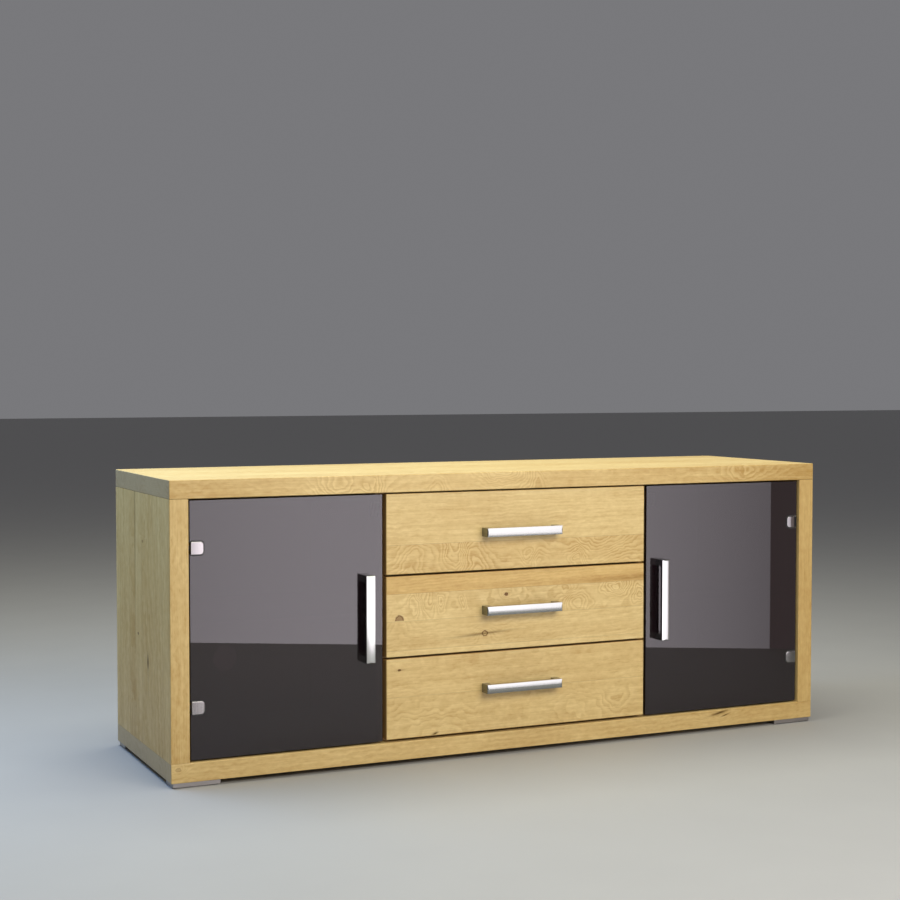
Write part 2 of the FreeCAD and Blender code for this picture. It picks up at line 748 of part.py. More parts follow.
def export():
    os.makedirs("parts", exist_ok=True)
    for name, shape in nodes.items():
        moved = placed(shape, Vector(0, SHIFT_Y, 0))
        solids = moved.Solids
        valid = all(solid.isValid() for solid in solids)
        print(name, len(solids), "solids", "ok" if valid else "NOT VALID")
        whole = solids[0] if len(solids) == 1 else Part.makeCompound(solids)
        whole.exportStep("parts/" + name + ".step")
    print(len(nodes), "nodes")


carcase_boards()
back_panel()
shelves()
feet()
fixed_door_hardware()
doors()
drawers()
export()
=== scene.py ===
"""Looks of a low television cabinet: oiled light hardwood, smoked glass, satin metal."""
import math

import bpy
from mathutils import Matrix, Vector


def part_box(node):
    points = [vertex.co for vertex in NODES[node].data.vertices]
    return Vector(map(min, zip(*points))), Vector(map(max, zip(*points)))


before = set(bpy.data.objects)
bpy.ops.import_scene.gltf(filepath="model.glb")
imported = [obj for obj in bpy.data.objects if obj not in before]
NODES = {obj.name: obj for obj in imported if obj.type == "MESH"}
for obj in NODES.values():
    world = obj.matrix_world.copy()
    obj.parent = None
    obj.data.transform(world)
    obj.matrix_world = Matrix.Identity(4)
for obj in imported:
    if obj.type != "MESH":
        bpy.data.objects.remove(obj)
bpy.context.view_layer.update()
SIDES = ("left", "right")
DRAWERS = ("top", "middle", "bottom")

# ---- camera, floor and light, in metres and degrees in the part's frame ----
CAMERA_PLACE = (-1.560, -3.202, 0.772)
CAMERA_TURN = -24.98
CAMERA_DIP = 2.446
CAMERA_LENS = 65.8
CAMERA_SENSOR = 36.0
FLOOR_HALF = 30.0
FLOOR_COLOR = (0.325, 0.32, 0.315, 1.0)
AMBIENT = (0.19, 0.19, 0.20, 1.0)
CARD_LEFT = Vector((-1.300, -2.4488))     # foot of the low upright reflector card
CARD_RIGHT = Vector((1.257, -1.0545))
CARD_HEIGHT = 1.0
CARD_RADIANCE = 4.7
CARD_COLOR = (1.0, 0.925, 0.985, 1.0)
CARD_PEAK = 0.290                         # where along x it is brightest
CARD_FALLOFF = 0.612
CARD_LEAST = 0.15
DIM_CARD_RIGHT = Vector((1.40, -0.977))   # foot of the dim card that carries on from it
DIM_RADIANCE = 0.55
DIM_COLOR = (1.0, 0.82, 0.80, 1.0)
KEY_PLACE = Vector((0.35, -3.0, 1.95))
KEY_AIM = Vector((0.05, -0.2, 0.35))
KEY_SIZE = (2.6, 1.3)
KEY_RADIANCE = 7.4
KEY_COLOR = (1.0, 0.97, 0.87)
TOP_PLACE = Vector((-0.4, 0.2, 3.0))
TOP_SIZE = (3.0, 2.4)
TOP_RADIANCE = 4.6
TOP_COLOR = (1.0, 1.0, 0.84)
FILL_PLACE = Vector((-1.35, 0.3, 1.5))    # cool fill on the left side
FILL_AIM = Vector((-0.74, 0.0, 0.45))
FILL_SIZE = (1.0, 0.8)
FILL_RADIANCE = 7.0
FILL_COLOR = (0.25, 0.51, 1.0)


class Shader:
    """Adds nodes to one tree. A value is a number, a tuple or another node's output."""

    def __init__(self, tree):
        self.tree = tree

    def node(self, kind, inputs=(), **settings):
        made = self.tree.nodes.new("ShaderNode" + kind)
        for name, value in settings.items():
            setattr(made, name, value)
        for name, value in dict(inputs).items():
            self.feed(made.inputs[name], value)
        return made

    def feed(self, socket, value):
        if isinstance(value, bpy.types.NodeSocket):
            self.tree.links.new(value, socket)
        else:
            socket.default_value = value

    def math(self, operation, *values):
        made = self.node("Math", operation=operation)
        for socket, value in zip(made.inputs, values):
            self.feed(socket, value)
        return made.outputs[0]

    def add(self, a, b):
        return self.math("ADD", a, b)

    def sub(self, a, b):
        return self.math("SUBTRACT", a, b)

    def mul(self, a, b):
        return self.math("MULTIPLY", a, b)

    def ramp(self, value, low, high):
        """0 below low, 1 above high, smooth between."""
        made = self.node("MapRange", {"Value": value, "From Min": low, "From Max": high},
                         interpolation_type="SMOOTHSTEP")
        return made.outputs["Result"]

    def vector(self, x, y, z):
        return self.node("CombineXYZ", {"X": x, "Y": y, "Z": z}).outputs[0]

    def split(self, vector):
        made = self.node("SeparateXYZ", {"Vector": vector})
        return made.outputs["X"], made.outputs["Y"], made.outputs["Z"]

    def noise(self, vector, scale=1.0, detail=2.0, roughness=0.5, distortion=0.0):
        made = self.node("TexNoise", {"Vector": vector, "Scale": scale, "Detail": detail,
                                      "Roughness": roughness, "Distortion": distortion})
        return made.outputs["Fac"]

    def sway(self, vector, scale=1.0, **settings):
        """Noise from -0.5 to 0.5."""
        return self.sub(self.noise(vector, scale, **settings), 0.5)

    def chance(self, value):
        """Three random numbers from 0 to 1 that depend on value alone."""
        made = self.node("TexWhiteNoise", {"W": value}, noise_dimensions="1D")
        return self.split(made.outputs["Color"])

    def mix(self, share, a, b):
        made = self.node("Mix", {"Factor": share}, data_type="RGBA")
        self.feed(made.inputs[6], a)
        self.feed(made.inputs[7], b)
        return made.outputs[2]

    def tint(self, color, value):
        """Color times a brightness."""
        made = self.node("Mix", {"Factor": 1.0}, data_type="RGBA", blend_type="MULTIPLY")
        self.feed(made.inputs[6], color)
        self.feed(made.inputs[7], self.vector(value, value, value))
        return made.outputs[2]

    def square_far(self, dx, dz, half_x=1.0, half_z=1.0):
        """Squared distance, with each direction measured in its own half size."""
        dx = self.math("DIVIDE", dx, half_x)
        dz = self.math("DIVIDE", dz, half_z)
        return self.add(self.mul(dx, dx), self.mul(dz, dz))

    def bell(self, square):
        """1 in the middle, falling smoothly with the squared distance."""
        return self.math("EXPONENT", self.mul(square, -1.0))

    def bump(self, height, strength, distance):
        made = self.node("Bump", {"Height": height, "Strength": strength,
                                  "Distance": distance})
        return made.outputs["Normal"]

    def object_place(self):
        return self.split(self.node("TexCoord").outputs["Object"])


def new_material(name, kind="BsdfPrincipled"):
    """An empty material and its shader tree, with one surface shader already wired."""
    material = bpy.data.materials.new(name)
    material.use_nodes = True
    tree = material.node_tree
    tree.nodes.clear()
    shader = Shader(tree)
    surface = shader.node(kind)
    output = shader.node("OutputMaterial")
    tree.links.new(surface.outputs[0], output.inputs["Surface"])
    return material, shader, surface


def dress(material, *names):
    """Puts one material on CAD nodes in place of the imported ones."""
    for name in names:
        slots = NODES[name].data.materials
        slots.clear()
        slots.append(material)


# ---- wood ----
WOOD_LIGHT = (0.695, 0.523, 0.232, 1.0)
WOOD_DARK = (0.440, 0.268, 0.075, 1.0)
HONEY_LIGHT = (0.63, 0.412, 0.132, 1.0)
HONEY_DARK = (0.40, 0.215, 0.045, 1.0)
END_GRAIN = (0.275, 0.215, 0.145, 1.0)
KNOT_BROWN = (0.14, 0.056, 0.003, 1.0)
CRACK_BROWN = (0.070, 0.030, 0.001, 1.0)
# painted shade: brown for the drawer fronts' top, bottom and side faces, in place of the shade
# in the gaps
PAINTED_EDGE_SHADE = (0.41, 0.235, 0.080, 1.0)
END_GRAIN_SHARE = 0.62
RING_SPACING = 0.0042        # metres between growth rings
PITH_SPREAD = 0.16           # how far to a side a board's pith can lie
SEAM_HALF = 0.0009           # half the width of a glue line
SEAM_DARK = 0.20
SEAM_DEPTH = 1.2             # as a share of the grain's own height
GRAIN_DEPTH = 0.0003         # metres of relief
KNOT_PUSH = 3.6              # rings that a knot pushes aside
KNOT_REACH = 0.16            # how fast that push falls off with the squared distance
WOOD_ROUGH = 0.40
WOOD_GLOSS = 0.33
CRACK_GLOSS = 0.03
AXES = {"x": 0, "y": 1, "z": 2}
GROUP_INPUTS = ("Along", "Across", "Depth", "Seed", "Curl", "Wave", "Tone", "Honey", "Push",
                "Figure")
FIGURED = 4.0                # boards curlier than this also take the placed swirls
MOST_CURL = 14.0             # the curl at which the rings show most
FIGURED_SLOW = 0.72          # share of the plain rings that figured boards lose
SWIRL_BEND = 0.024           # how far noise bends the swirls out of their ovals
SWIRL_SHOWN = 1.3            # how much wider than a swirl its stronger rings reach
SWIRL_FULL = 4.0             # the height at which a swirl's rings show fully
GRAIN_LAYERS = (             # scale along, scale across, detail, roughness, darkening
    (7.0, 480.0, 3.0, 0.6, 0.60),       # fibres, which also give the relief
    (1.6, 75.0, 4.0, 0.62, 0.80),       # long streaks
    (62.0, 105.0, 2.0, 0.6, 0.70),      # mottle
    (5.0, 13.0, 2.0, 0.5, 0.65))        # clouds
BASE_DARK = 0.24             # how far from light to dark a board of tone 0 is
FLECK_DARK = 0.17
GLINT_DARK = -0.18
CHANCE_UNEVEN = 0.26         # the rest is for boards that are not listed one by one
CHANCE_CURL = 12.0
CHANCE_WAVE = 4.0
CHANCE_TONE = 0.26
CHANCE_HONEY = 0.5


def rings_of(s, given, spot):
    """Growth rings: distance from a pith line outside the board, bent by slow waves."""
    r1, r2, r3 = s.chance(given["Seed"])
    r4 = s.chance(s.add(given["Seed"], 37.7))[0]
    along, across, depth = given["Along"], given["Across"], given["Depth"]
    wave = s.sway(spot(2.0, 9.0), detail=2.0)
    curl = s.sway(spot(12.0, 15.0), detail=0.8, roughness=0.4, distortion=0.25)
    ripple = s.sway(spot(60.0, 45.0), detail=1.0)
    lean = s.mul(along, s.mul(s.sub(r2, 0.5), 0.06))
    sideways = s.sub(s.sub(across, s.mul(s.sub(r1, 0.5), PITH_SPREAD)), lean)
    dive = s.mul(along, s.mul(s.sub(r3, 0.5), 0.10))
    below = s.add(s.add(depth, s.add(s.mul(r4, 0.05), 0.03)), dive)
    radius = s.math("SQRT", s.add(s.mul(sideways, sideways), s.mul(below, below)))
    bent = s.add(s.mul(wave, given["Wave"]), s.mul(curl, given["Curl"]))
    bent = s.add(bent, s.add(s.mul(ripple, 1.1), given["Push"]))
    figured = s.math("GREATER_THAN", given["Curl"], FIGURED)
    plain = s.sub(1.0, s.mul(figured, FIGURED_SLOW))
    return s.add(s.mul(s.math("DIVIDE", radius, RING_SPACING), plain), bent)


def late_wood(s, given, spot):
    """The dark late wood of each ring, and how much darker it makes the board."""
    turn = s.math("FRACT", rings_of(s, given, spot))
    late = s.mul(s.ramp(turn, 0.15, 0.80), s.sub(1.0, s.ramp(turn, 0.84, 1.0)))
    patchy = s.ramp(s.noise(spot(9.0, 20.0), detail=1.0), 0.36, 0.64)
    curly = s.ramp(given["Curl"], FIGURED, MOST_CURL)
    shown = s.mul(patchy, s.add(s.mul(curly, 0.26), 0.20))
    shown = s.add(shown, s.add(s.mul(curly, 0.06), s.mul(given["Figure"], 0.34)))
    return late, s.mul(s.sub(late, 0.35), shown)


def darkness(s, given, spot, line):
    """0 for the light wood colour and 1 for the dark one, and the fibres' own noise."""
    dark = s.add(s.add(given["Tone"], BASE_DARK), line)
    layers = []
    for along_scale, across_scale, detail, roughness, weight in GRAIN_LAYERS:
        place = spot(along_scale, across_scale)
        layers.append(s.sway(place, detail=detail, roughness=roughness))
        dark = s.add(dark, s.mul(layers[-1], weight))
    fleck = s.ramp(s.noise(spot(75.0, 800.0), detail=0.0), 0.64, 0.75)
    glint = s.ramp(s.noise(spot(26.0, 150.0), detail=2.0), 0.56, 0.74)
    dark = s.add(dark, s.mul(fleck, FLECK_DARK))
    dark = s.add(dark, s.mul(glint, GLINT_DARK))
    return s.math("MAXIMUM", s.math("MINIMUM", dark, 1.2), -0.25), layers[0]


def board_group():
    """Node group: colour and height of one sawn board, from its place in the log."""
    tree = bpy.data.node_groups.new("Board", "ShaderNodeTree")
    for name in GROUP_INPUTS:
        tree.interface.new_socket(name, in_out="INPUT", socket_type="NodeSocketFloat")
    tree.interface.new_socket("Color", in_out="OUTPUT", socket_type="NodeSocketColor")
    tree.interface.new_socket("Height", in_out="OUTPUT", socket_type="NodeSocketFloat")
    s = Shader(tree)
    given = tree.nodes.new("NodeGroupInput").outputs
    shift = s.mul(given["Seed"], 3.17)

    def spot(along_scale, across_scale):
        return s.vector(s.add(s.mul(given["Along"], along_scale), shift),
                        s.mul(given["Across"], across_scale),
                        s.mul(given["Depth"], across_scale))

    late, line = late_wood(s, given, spot)
    dark, fibre = darkness(s, given, spot, line)
    pale = s.node("Mix", {"Factor": dark}, data_type="RGBA", clamp_factor=False)
    s.feed(pale.inputs[6], WOOD_LIGHT)
    s.feed(pale.inputs[7], WOOD_DARK)
    color = s.mix(given["Honey"], pale.outputs[2], s.mix(dark, HONEY_LIGHT, HONEY_DARK))
    height = s.add(s.mul(fibre, 0.6), s.mul(late, 0.3))

    result = tree.nodes.new("NodeGroupOutput")
    s.feed(result.inputs["Color"], color)
    s.feed(result.inputs["Height"], height)
    return tree


BOARD = board_group()


def by_board(s, across, seams, values):
    """A value for each board between the seams, from the lowest board up."""
    total = values[0]
    for seam, below, above in zip(seams, values, values[1:]):
        past = s.math("GREATER_THAN", across, seam)
        total = s.add(total, s.mul(past, above - below))
    return total


def chosen_boards(s, across, boards):
    """Boards listed as (top edge, curl, wave, tone, honey), the last one open upwards."""
    seams = [board[0] for board in boards[:-1]]
    nearest = 1.0
    for seam in seams:
        gap = s.math("ABSOLUTE", s.sub(across, seam))
        nearest = s.math("MINIMUM", nearest, gap)
    line = s.sub(1.0, s.ramp(nearest, 0.0, SEAM_HALF))
    number = by_board(s, across, seams, list(range(len(boards))))
    curl, wave, tone, honey = [by_board(s, across, seams, [board[i] for board in boards])
                               for i in range(1, 5)]
    return number, line, curl, wave, tone, honey


def chance_boards(s, across, width, seed):
    """Boards of uneven width whose curl, tone and honey are drawn at random."""
    place = s.math("DIVIDE", across, width)
    turn = s.math("SINE", s.add(s.mul(place, 2.1), seed))
    uneven = s.add(place, s.mul(turn, CHANCE_UNEVEN))
    number = s.math("FLOOR", uneven)
    edge = s.math("ABSOLUTE", s.sub(s.math("FRACT", uneven), 0.5))
    line = s.ramp(edge, 0.5 - SEAM_HALF / width, 0.5)
    r1, r2, r3 = s.chance(s.add(number, seed + 5.1))
    curl = s.mul(s.ramp(r1, 0.35, 1.0), CHANCE_CURL)
    tone = s.mul(s.sub(r2, 0.5), CHANCE_TONE)
    honey = s.mul(s.ramp(r3, 0.75, 0.95), CHANCE_HONEY)
    return number, line, curl, CHANCE_WAVE, tone, honey


def humps(s, along, across, places):
    """Sum of smooth humps, each (along, across, half length, half width, height)."""
    total = 0.0
    for x, z, half_x, half_z, height in places:
        square = s.square_far(s.sub(along, x), s.sub(across, z), half_x, half_z)
        total = s.add(total, s.mul(s.bell(square), height))
    return total


def knot_marks(s, along, across, knots):
    """How far each knot pushes the rings aside, and the share of knot brown.

    A knot is (along, across, radius, stretch, ring, heart, cut): ring and heart are
    strengths, and cut hides the half below its own middle."""
    push, brown = 0.0, 0.0
    for x, z, radius, stretch, ring, heart, cut in knots:
        dx = s.math("DIVIDE", s.sub(along, x), radius * stretch)
        dz = s.math("DIVIDE", s.sub(across, z), radius)
        wobble = s.sway(s.vector(dx, dz, x * 10.0), scale=1.4, detail=2.0)
        square = s.square_far(dx, dz)
        far = s.add(s.math("SQRT", square), s.mul(wobble, 0.7))
        disc = s.sub(1.0, s.ramp(far, 0.85, 1.15))
        rim = s.mul(disc, s.ramp(far, 0.45, 0.85))
        mark = s.math("MAXIMUM", s.mul(rim, ring), s.mul(disc, heart))
        if cut:
            mark = s.mul(mark, s.math("GREATER_THAN", across, z))
        push = s.add(push, s.mul(s.bell(s.mul(square, KNOT_REACH)), KNOT_PUSH))
        brown = s.math("MAXIMUM", brown, mark)
    return push, brown


def crack_marks(s, along, across, cracks):
    """The share of dark brown in narrow cracks and streaks.

    A crack is (along, across, half length, half width, lean, strength)."""
    dark = 0.0
    for x, z, half_x, half_z, lean, strength in cracks:
        dx = s.sub(along, x)
        dz = s.sub(s.sub(across, z), s.mul(dx, lean))
        mark = s.mul(s.bell(s.square_far(dx, dz, half_x, half_z)), strength)
        dark = s.math("MAXIMUM", dark, mark)
    return dark


def swirl_marks(s, along, across, seed, curl, swirls):
    """How far swirls push the rings aside, and how strongly the rings show there.

    Only figured boards take them, and noise bends them out of their ovals."""
    spot = s.vector(along, across, seed)
    along = s.add(along, s.mul(s.sway(spot, 38.0, detail=1.0), SWIRL_BEND))
    across = s.add(across, s.mul(s.sway(spot, 47.0, detail=1.0), SWIRL_BEND))
    figured = s.math("GREATER_THAN", curl, FIGURED)
    push = s.mul(humps(s, along, across, swirls), figured)
    shown = [(x, z, half_x * SWIRL_SHOWN, half_z * SWIRL_SHOWN, abs(height) / SWIRL_FULL)
             for x, z, half_x, half_z, height in swirls]
    figure = s.math("MINIMUM", humps(s, along, across, shown), 1.0)
    return push, s.mul(figure, figured)


def finish_wood(s, surface, board, seam, brown, dark, grain, painted_edge_shade):
    """Colour, gloss and relief of the surface, from one board group and the marks on it."""
    color = s.tint(board.outputs["Color"], s.sub(1.0, s.mul(seam, SEAM_DARK)))
    color = s.mix(brown, color, KNOT_BROWN)
    color = s.mix(dark, color, CRACK_BROWN)
    normal = s.split(s.node("TexCoord").outputs["Normal"])
    sawn = s.ramp(s.math("ABSOLUTE", normal[AXES[grain]]), 0.6, 0.9)
    color = s.mix(s.mul(sawn, END_GRAIN_SHARE), color, END_GRAIN)
    # Painted shade: faces that do not face the front turn brown, standing in for the shade in
    # the gaps between the fronts.
    if painted_edge_shade:
        front = s.ramp(s.math("ABSOLUTE", normal[AXES["y"]]), 0.3, 0.8)
        color = s.mix(s.sub(1.0, front), color, PAINTED_EDGE_SHADE)
    height = board.outputs["Height"]
    gloss = s.sub(WOOD_GLOSS, s.mul(dark, WOOD_GLOSS - CRACK_GLOSS))
    relief = s.sub(height, s.mul(seam, SEAM_DEPTH))
    s.feed(surface.inputs["Base Color"], color)
    s.feed(surface.inputs["Roughness"], s.add(s.mul(height, 0.2), WOOD_ROUGH))
    s.feed(surface.inputs["Specular IOR Level"], gloss)
    s.feed(surface.inputs["Normal"], s.bump(relief, 0.22, GRAIN_DEPTH))


def wood(name, grain, across, seed, boards=None, width=0.085, knots=(), cracks=(),
         swirls=(), shades=(), edge_axis=None, middle=0.0, painted_edge_shade=False):
    """Oiled solid wood glued from boards that run along one axis of the part's frame.

    Knots, cracks, swirls (humps in the rings) and shades (humps in the tone) lie on the
    face that the boards are counted across. With an edge_axis they lie on the first board's
    edge instead, along that axis. With painted edge shade, the faces that do not face the
    front turn brown: painted shade standing in for the shade in the gaps between parts."""
    material, s, surface = new_material(name)
    place = s.object_place()
    along_at = place[AXES[grain]]
    across_at = s.sub(place[AXES[across]], middle)
    depth_at = place[AXES[(set(AXES) - {grain, across}).pop()]]
    if boards:
        picked = chosen_boards(s, across_at, boards)
    else:
        picked = chance_boards(s, across_at, width, seed)
    number, seam, curl, wave, tone, honey = picked
    marks_at = place[AXES[edge_axis]] if edge_axis else across_at
    knot_push, brown = knot_marks(s, along_at, marks_at, knots)
    swirl_push, figure = swirl_marks(s, along_at, marks_at, seed, curl, swirls)
    marks = [s.add(knot_push, swirl_push), figure, brown,
             crack_marks(s, along_at, marks_at, cracks), humps(s, along_at, marks_at, shades)]
    if edge_axis:
        on_edge = s.math("LESS_THAN", across_at, boards[0][0])
        marks = [s.mul(mark, on_edge) for mark in marks]
    push, figure, brown, dark, shade = marks
    values = (along_at, across_at, depth_at, s.add(s.mul(number, 7.31), seed), curl, wave,
              s.add(tone, shade), honey, push, figure)
    board = s.node("Group", dict(zip(GROUP_INPUTS, values)), node_tree=BOARD)
    finish_wood(s, surface, board, seam, brown, dark, grain, painted_edge_shade)
    return material


def long_boards():
    """Top, base and shelves, whose grain runs along the cabinet.

    What each number of a board or a mark means stands with the function that reads it:
    chosen_boards, knot_marks, crack_marks and humps."""
    top_boards = [(-0.1972, 5.0, 4.0, 0.14, 0.10), (-0.118, 7.0, 4.0, 0.02, 0.0),
                  (-0.030, 2.0, 4.0, -0.10, 0.0), (0.052, 5.0, 5.0, 0.0, 0.1),
                  (0.128, 1.0, 3.0, -0.06, 0.0), (1.0, 8.0, 4.0, 0.04, 0.0)]
    top_swirls = [(-0.400, 0.565, 0.045, 0.045, 6.0), (-0.335, 0.560, 0.022, 0.030, 4.0),
                  (-0.190, 0.560, 0.020, 0.030, -3.0), (-0.050, 0.590, 0.050, 0.030, 6.0),
                  (0.035, 0.570, 0.020, 0.040, -3.0), (0.560, 0.560, 0.045, 0.030, 4.0)]
    top_shades = [(-0.740, 0.566, 0.220, 0.1, 0.28), (-0.415, 0.566, 0.070, 0.1, -0.20),
                  (-0.045, 0.566, 0.080, 0.1, -0.10), (0.420, 0.566, 0.150, 0.1, 0.18),
                  (0.700, 0.566, 0.160, 0.1, 0.42)]
    top = wood("oiled_top", "x", "y", 4.2, top_boards, swirls=top_swirls,
               shades=top_shades, edge_axis="z")
    dress(top, "top_panel")
    base_boards = [(-0.1972, 2.0, 4.0, 0.16, 0.15), (-0.110, 5.0, 4.0, 0.05, 0.0),
                   (-0.020, 2.0, 4.0, -0.04, 0.0), (0.070, 6.0, 4.0, 0.04, 0.1),
                   (1.0, 2.0, 4.0, 0.0, 0.0)]
    base_knots = [(0.490, 0.0390, 0.0050, 3.6, 0.12, 0.10, False),
                  (-0.726, 0.0360, 0.0040, 1.4, 0.45, 0.30, False)]
    base_cracks = [(0.493, 0.0403, 0.021, 0.0025, 0.20, 1.0),
                   (0.508, 0.0342, 0.010, 0.0014, 0.28, 1.0)]
    base_shades = [(0.200, 0.030, 0.300, 0.1, 0.08), (0.650, 0.030, 0.250, 0.1, 0.16)]
    base = wood("oiled_base", "x", "y", 11.6, base_boards, knots=base_knots,
                cracks=base_cracks, shades=base_shades, edge_axis="z")
    dress(base, "base_panel")
    dress(wood("oiled_shelf", "x", "y", 23.1), "left_shelf", "right_shelf")


def uprights():
    """Sides and dividers, whose grain stands up."""
    side_boards = [(-0.1972, 5.0, 5.0, 0.20, 0.05), (-0.145, 3.0, 3.0, 0.10, 0.0),
                   (-0.080, 0.0, 2.0, 0.14, 0.0), (0.010, 0.0, 1.5, 0.20, 0.0),
                   (0.062, 0.0, 1.5, 0.12, 0.0), (0.112, 0.0, 1.0, 0.30, 0.05),
                   (1.0, 1.0, 1.5, 0.16, 0.0)]
    side_knots = [(0.452, 0.002, 0.0060, 0.5, 0.3, 0.50, False),
                  (0.263, 0.041, 0.0055, 0.5, 0.6, 0.90, False)]
    side_cracks = [(0.216, -0.034, 0.014, 0.0055, 0.0, 1.0),
                   (0.180, -0.037, 0.050, 0.0050, 0.0, 0.14),
                   (0.540, 0.062, 0.180, 0.0060, 0.0, 0.36)]
    # Painted shade: the side is made darker towards the bottom, standing in for the light
    # falling off low down.
    side_painted_shade = [(0.020, 0.0, 0.280, 1.0, 0.30)]
    left = wood("oiled_left_side", "z", "y", 2.9, side_boards, knots=side_knots,
                cracks=side_cracks, shades=side_painted_shade)
    dress(left, "left_side_panel")
    right_boards = [(-0.1972, 3.0, 5.0, 0.30, 0.35), (-0.090, 5.0, 5.0, 0.02, 0.1),
                    (-0.010, 1.0, 2.0, -0.05, 0.0), (0.060, 2.0, 2.0, 0.16, 0.1),
                    (1.0, 0.0, 2.0, 0.0, 0.0)]
    dress(wood("oiled_right_side", "z", "y", 8.3, right_boards), "right_side_panel")
    divider = wood("oiled_divider", "z", "y", 15.4, [(1.0, 1.0, 2.0, 0.6, 1.0)])
    dress(divider, "left_divider", "right_divider")


def front_of(name, seed, boards, **marks):
    """One drawer front. Its boards and marks are in metres from its middle."""
    low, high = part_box(name + "_drawer_front")
    made = wood("oiled_" + name + "_front", "x", "z", seed, boards,
                middle=(low[2] + high[2]) / 2, painted_edge_shade=True, **marks)
    dress(made, name + "_drawer_front")


def drawer_fronts():
    """The three fronts, each glued from its own boards."""
    front_of("top", 3.3, [(-0.022, 6.5, 2.0, 0.22, 0.10), (1.0, 1.5, 3.5, 0.0, 0.0)],
             swirls=[(-0.245, -0.055, 0.030, 0.055, 4.0), (-0.148, -0.020, 0.024, 0.060, -4.5),
                     (-0.100, -0.060, 0.032, 0.045, 3.6), (0.018, -0.055, 0.016, 0.020, -2.6),
                     (0.048, -0.062, 0.013, 0.020, 2.6), (0.137, -0.064, 0.020, 0.022, 4.2),
                     (0.195, -0.018, 0.060, 0.030, -3.6), (0.270, -0.088, 0.060, 0.035, 3.0)])
    front_of("middle", 6.6, [(-0.069, 0.0, 3.0, -0.04, 0.0), (-0.010, 1.0, 3.0, 0.07, 0.0),
                             (0.045, 6.5, 2.0, 0.02, 0.0), (1.0, 0.0, 2.0, 0.12, 0.75)],
             knots=[(-0.0315, 0.0325, 0.0034, 1.4, 1.0, 1.0, False),
                    (-0.271, -0.0085, 0.0115, 0.88, 1.0, 0.72, True),
                    (-0.0805, -0.0455, 0.0060, 1.15, 1.0, 0.15, False)],
             cracks=[(-0.0850, -0.0458, 0.060, 0.0026, 0.06, 0.62),
                     (0.260, 0.0515, 0.130, 0.0035, 0.03, 0.18)],
             shades=[(0.240, 0.053, 0.150, 0.007, 0.50)],
             swirls=[(-0.235, 0.022, 0.016, 0.030, 3.6), (-0.205, 0.030, 0.015, 0.022, -3.0),
                     (-0.180, 0.030, 0.012, 0.022, 3.4), (-0.133, 0.022, 0.012, 0.014, 2.6),
                     (-0.075, 0.048, 0.030, 0.024, -2.4), (0.002, 0.038, 0.022, 0.024, 2.6),
                     (0.140, 0.006, 0.036, 0.024, 4.6), (0.108, 0.040, 0.020, 0.018, -3.0),
                     (0.228, 0.035, 0.032, 0.017, 4.8), (0.282, 0.020, 0.020, 0.030, -3.6)])
    front_of("bottom", 9.9, [(0.003, 4.2, 4.0, 0.10, 0.05), (1.0, 2.0, 4.0, 0.08, 0.10)],
             swirls=[(-0.200, -0.060, 0.090, 0.035, 2.5), (0.120, -0.050, 0.055, 0.040, 2.5),
                     (0.230, -0.040, 0.040, 0.025, -2.0)],
             knots=[(-0.271, 0.058, 0.0022, 1.8, 0.8, 1.0, False)],
             cracks=[(-0.268, 0.058, 0.010, 0.0014, 0.0, 0.45),
                     (-0.192, -0.0765, 0.0065, 0.0022, 0.25, 1.0)])


def plain_woods():
    """Drawer boxes, drawer bottoms, back panel and dowels."""
    box = wood("lacquered_beech", "y", "z", 41.0, [(1.0, 0.0, 2.0, 0.0, 0.0)])
    bottom = wood("birch_ply", "x", "y", 47.0, [(1.0, 3.0, 5.0, -0.1, 0.0)])
    back = wood("veneered_board", "x", "z", 53.0, width=0.26)
    for name in DRAWERS:
        dress(box, name + "_drawer_sides", name + "_drawer_back")
        dress(bottom, name + "_drawer_bottom")
    dress(back, "back_panel")
    dress(box, "carcase_dowels")


# ---- glass, metal, plastic ----
GLASS_TINT = (0.030, 0.015, 0.020, 1.0)
GLASS_CLARITY = 0.72         # the rest is a faint even haze
GLASS_IOR = 1.5


def smoked_glass():
    """Dark see-through glass with a clean polished surface."""
    material, s, surface = new_material("smoked_glass")
    place = s.node("TexCoord").outputs["Object"]
    smear = s.noise(place, scale=5.0, detail=3.0)
    s.feed(surface.inputs["Base Color"], s.tint(GLASS_TINT, s.add(s.mul(smear, 0.1), 0.95)))
    s.feed(surface.inputs["Transmission Weight"], GLASS_CLARITY)
    s.feed(surface.inputs["Roughness"], s.mul(s.ramp(smear, 0.45, 0.9), 0.012))
    s.feed(surface.inputs["IOR"], GLASS_IOR)
    return material


def brushed(name, color, rough, along, bump_strength=0.12, lines=900.0):
    """Metal with fine lines along one axis."""
    material, s, surface = new_material(name)
    place = list(s.object_place())
    scales = [lines, lines, lines]
    scales[AXES[along]] = lines / 40
    stretched = s.vector(*[s.mul(part, scale) for part, scale in zip(place, scales)])
    hair = s.noise(stretched, detail=2.0)
    haze = s.noise(s.node("TexCoord").outputs["Object"], scale=24.0, detail=2.0)
    s.feed(surface.inputs["Base Color"], s.tint(color, s.add(s.mul(hair, 0.16), 0.90)))
    s.feed(surface.inputs["Metallic"], 1.0)
    s.feed(surface.inputs["Roughness"],
           s.add(rough, s.add(s.mul(hair, 0.05), s.mul(haze, 0.03))))
    s.feed(surface.inputs["Normal"], s.bump(hair, bump_strength, 0.0001))
    return material


def moulded(name, color, rough, grain=1400.0):
    """Plastic or rubber with a fine grained surface."""
    material, s, surface = new_material(name)
    place = s.node("TexCoord").outputs["Object"]
    pits = s.noise(place, scale=grain, detail=2.0)
    dust = s.noise(place, scale=30.0, detail=3.0)
    s.feed(surface.inputs["Base Color"], s.tint(color, s.add(s.mul(dust, 0.5), 0.75)))
    s.feed(surface.inputs["Roughness"], s.add(rough, s.mul(dust, 0.1)))
    s.feed(surface.inputs["Normal"], s.bump(pits, 0.3, 0.0002))
    return material


